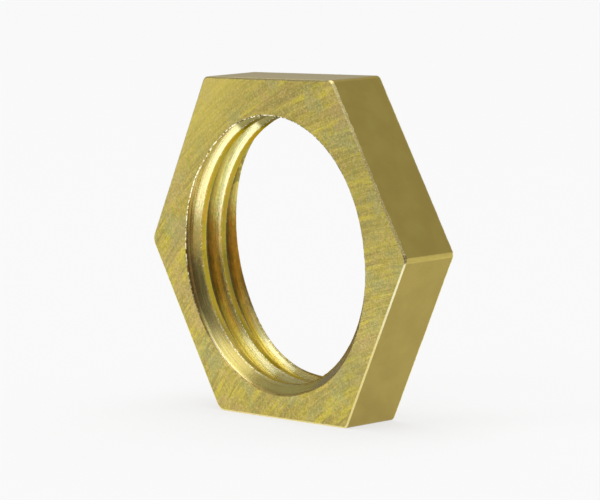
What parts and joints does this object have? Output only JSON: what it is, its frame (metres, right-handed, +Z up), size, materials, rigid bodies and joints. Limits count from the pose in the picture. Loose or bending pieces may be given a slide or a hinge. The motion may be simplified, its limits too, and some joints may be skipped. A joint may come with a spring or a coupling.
{
  "type": "lock nut",
  "caption": "Thin hexagonal brass lock nut, tapped right through with a parallel pipe thread.",
  "frame": {"origin": "on the thread's axis, halfway through the thickness", "axes": "the thread's axis runs along Y and the face with the thread's run-out looks to -Y; +Z is up, square to the flat that the nut stands on; two corners point along X"},
  "size_m": [0.0276, 0.0044, 0.024],
  "materials": {
    "brass": "bright drawn flats, brushed faces, cut thread"
  },
  "bodies": {
    "root": {"lock_nut": "brass"}
  },
  "joints": []
}
